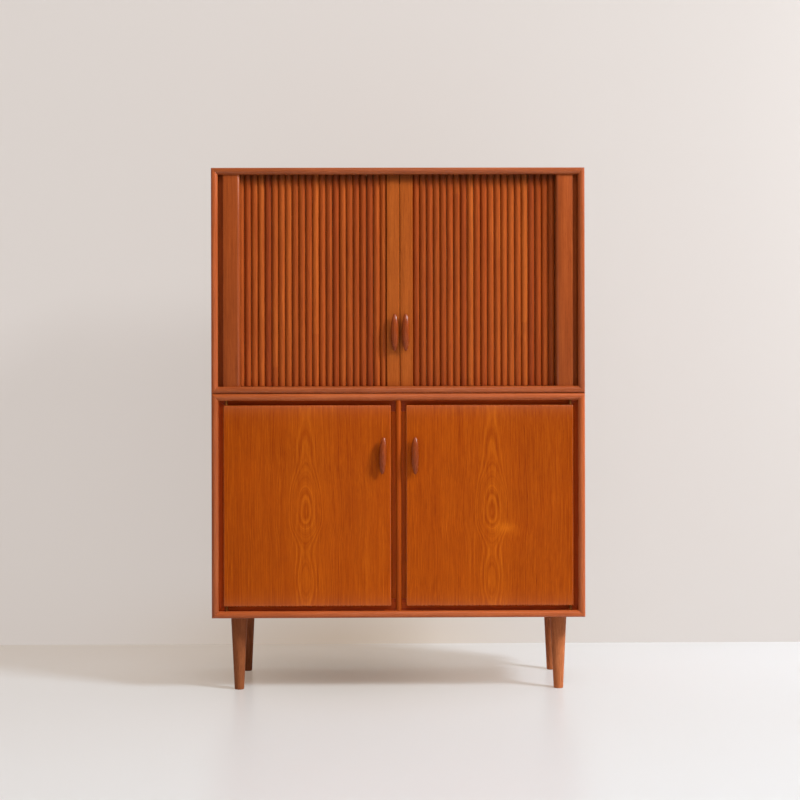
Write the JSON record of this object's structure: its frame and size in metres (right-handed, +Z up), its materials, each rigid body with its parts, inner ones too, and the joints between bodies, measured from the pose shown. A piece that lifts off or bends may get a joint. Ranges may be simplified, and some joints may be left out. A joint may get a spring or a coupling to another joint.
{
  "type": "tambour door cabinet",
  "caption": "Teak cabinet in two stacked cases: slatted curtains slide sideways across the upper one, hinged doors close the lower one, on round tapered legs.",
  "frame": {"origin": "on the floor, under the middle of the footprint, with the handles counted in it", "axes": "+X to the right as seen from the front, +Y to the back, +Z up"},
  "size_m": [1.05, 0.4624, 1.475],
  "materials": {
    "teak": "oiled teak, satin",
    "slat_teak": "oiled solid teak slats, satin",
    "handle_teak": "oiled solid teak, darker, soft sheen",
    "plywood": "unfinished plywood back",
    "brass": "dulled brass",
    "magnet_steel": "plain steel"
  },
  "bodies": {
    "case": {"leg_front_left": "teak", "leg_front_right": "teak", "leg_back_left": "teak", "leg_back_right": "teak", "lower_side_left": "teak", "lower_side_right": "teak", "lower_top": "teak", "lower_bottom": "teak", "lower_back": "plywood", "lower_partition": "teak", "centre_post": "teak", "lower_shelf_left": "teak", "lower_shelf_right": "teak", "magnet_catch_left": "magnet_steel", "magnet_catch_right": "magnet_steel", "locating_dowel_left": "teak", "locating_dowel_right": "teak", "upper_side_left": "teak", "upper_side_right": "teak", "upper_top": "teak", "upper_bottom": "teak", "upper_back": "plywood", "liner_left": "teak", "liner_right": "teak", "stile_left": "teak", "stile_right": "teak", "upper_shelf": "teak", "hinge_pin_leaf_left_bottom": "brass", "hinge_pin_leaf_left_top": "brass", "hinge_pin_leaf_right_bottom": "brass", "hinge_pin_leaf_right_top": "brass"},
    "lower_door_left": {"door_left": "teak", "lower_handle_left": "handle_teak", "hinge_door_leaf_left_bottom": "brass", "hinge_door_leaf_left_top": "brass"},
    "lower_door_right": {"door_right": "teak", "lower_handle_right": "handle_teak", "hinge_door_leaf_right_bottom": "brass", "hinge_door_leaf_right_top": "brass"},
    "tambour_left": {"lead_rail_left": "teak", "upper_handle_left": "handle_teak", "curtain_left_1": "slat_teak"},
    "tambour_left_strip_2": {"curtain_left_2": "slat_teak"},
    "tambour_left_strip_3": {"curtain_left_3": "slat_teak"},
    "tambour_left_strip_4": {"curtain_left_4": "slat_teak"},
    "tambour_left_strip_5": {"curtain_left_5": "slat_teak"},
    "tambour_left_strip_6": {"curtain_left_6": "slat_teak"},
    "tambour_left_strip_7": {"curtain_left_7": "slat_teak"},
    "tambour_left_strip_8": {"curtain_left_8": "slat_teak"},
    "tambour_right": {"lead_rail_right": "teak", "upper_handle_right": "handle_teak", "curtain_right_1": "slat_teak"},
    "tambour_right_strip_2": {"curtain_right_2": "slat_teak"},
    "tambour_right_strip_3": {"curtain_right_3": "slat_teak"},
    "tambour_right_strip_4": {"curtain_right_4": "slat_teak"},
    "tambour_right_strip_5": {"curtain_right_5": "slat_teak"},
    "tambour_right_strip_6": {"curtain_right_6": "slat_teak"},
    "tambour_right_strip_7": {"curtain_right_7": "slat_teak"},
    "tambour_right_strip_8": {"curtain_right_8": "slat_teak"}
  },
  "joints": [
    {"name": "lower_door_left_hinge", "type": "hinge", "parent": "case", "child": "lower_door_left", "pos_m": [-0.4835, -0.19735, 0.5255], "axis": [0, 0, -1], "range_deg": [0, 110]},
    {"name": "lower_door_right_hinge", "type": "hinge", "parent": "case", "child": "lower_door_right", "pos_m": [0.4835, -0.19735, 0.5255], "axis": [0, 0, 1], "range_deg": [0, 110]},
    {"name": "tambour_left_slide", "type": "slide", "parent": "case", "child": "tambour_left", "axis": [-1, 0, 0], "range_m": [0, 0.398]},
    {"name": "tambour_left_strip_2_slide", "type": "slide", "parent": "case", "child": "tambour_left_strip_2", "axis": [-1, 0, 0], "range_m": [0, 0.3976], "deforming": ["curtain_left_2"]},
    {"name": "tambour_left_strip_3_slide", "type": "slide", "parent": "case", "child": "tambour_left_strip_3", "axis": [-1, 0, 0], "range_m": [0, 0.3403], "deforming": ["curtain_left_3"]},
    {"name": "tambour_left_strip_4_slide", "type": "slide", "parent": "case", "child": "tambour_left_strip_4", "axis": [-1, 0, 0], "range_m": [0, 0.283], "deforming": ["curtain_left_4"]},
    {"name": "tambour_left_strip_5_slide", "type": "slide", "parent": "case", "child": "tambour_left_strip_5", "axis": [-1, 0, 0], "range_m": [0, 0.2257], "deforming": ["curtain_left_5"]},
    {"name": "tambour_left_strip_6_slide", "type": "slide", "parent": "case", "child": "tambour_left_strip_6", "axis": [-1, 0, 0], "range_m": [0, 0.1684], "deforming": ["curtain_left_6"]},
    {"name": "tambour_left_strip_7_slide", "type": "slide", "parent": "case", "child": "tambour_left_strip_7", "axis": [-1, 0, 0], "range_m": [0, 0.1111], "deforming": ["curtain_left_7"]},
    {"name": "tambour_left_strip_8_slide", "type": "slide", "parent": "case", "child": "tambour_left_strip_8", "axis": [-1, 0, 0], "range_m": [0, 0.0538], "deforming": ["curtain_left_8"]},
    {"name": "tambour_right_slide", "type": "slide", "parent": "case", "child": "tambour_right", "axis": [1, 0, 0], "range_m": [0, 0.398]},
    {"name": "tambour_right_strip_2_slide", "type": "slide", "parent": "case", "child": "tambour_right_strip_2", "axis": [1, 0, 0], "range_m": [0, 0.3882], "deforming": ["curtain_right_2"]},
    {"name": "tambour_right_strip_3_slide", "type": "slide", "parent": "case", "child": "tambour_right_strip_3", "axis": [1, 0, 0], "range_m": [0, 0.3309], "deforming": ["curtain_right_3"]},
    {"name": "tambour_right_strip_4_slide", "type": "slide", "parent": "case", "child": "tambour_right_strip_4", "axis": [1, 0, 0], "range_m": [0, 0.2736], "deforming": ["curtain_right_4"]},
    {"name": "tambour_right_strip_5_slide", "type": "slide", "parent": "case", "child": "tambour_right_strip_5", "axis": [1, 0, 0], "range_m": [0, 0.2163], "deforming": ["curtain_right_5"]},
    {"name": "tambour_right_strip_6_slide", "type": "slide", "parent": "case", "child": "tambour_right_strip_6", "axis": [1, 0, 0], "range_m": [0, 0.159], "deforming": ["curtain_right_6"]},
    {"name": "tambour_right_strip_7_slide", "type": "slide", "parent": "case", "child": "tambour_right_strip_7", "axis": [1, 0, 0], "range_m": [0, 0.1017], "deforming": ["curtain_right_7"]},
    {"name": "tambour_right_strip_8_slide", "type": "slide", "parent": "case", "child": "tambour_right_strip_8", "axis": [1, 0, 0], "range_m": [0, 0.0444], "deforming": ["curtain_right_8"]}
  ],
  "couplings": [
    {"joint": "tambour_left_strip_2_slide", "follows": "tambour_left_slide", "ratio": 0.9977},
    {"joint": "tambour_left_strip_3_slide", "follows": "tambour_left_slide", "ratio": 0.8538},
    {"joint": "tambour_left_strip_4_slide", "follows": "tambour_left_slide", "ratio": 0.7098},
    {"joint": "tambour_left_strip_5_slide", "follows": "tambour_left_slide", "ratio": 0.5658},
    {"joint": "tambour_left_strip_6_slide", "follows": "tambour_left_slide", "ratio": 0.4219},
    {"joint": "tambour_left_strip_7_slide", "follows": "tambour_left_slide", "ratio": 0.2779},
    {"joint": "tambour_left_strip_8_slide", "follows": "tambour_left_slide", "ratio": 0.1339},
    {"joint": "tambour_right_strip_2_slide", "follows": "tambour_right_slide", "ratio": 0.9741},
    {"joint": "tambour_right_strip_3_slide", "follows": "tambour_right_slide", "ratio": 0.8302},
    {"joint": "tambour_right_strip_4_slide", "follows": "tambour_right_slide", "ratio": 0.6862},
    {"joint": "tambour_right_strip_5_slide", "follows": "tambour_right_slide", "ratio": 0.5422},
    {"joint": "tambour_right_strip_6_slide", "follows": "tambour_right_slide", "ratio": 0.3982},
    {"joint": "tambour_right_strip_7_slide", "follows": "tambour_right_slide", "ratio": 0.2543},
    {"joint": "tambour_right_strip_8_slide", "follows": "tambour_right_slide", "ratio": 0.1103}
  ]
}
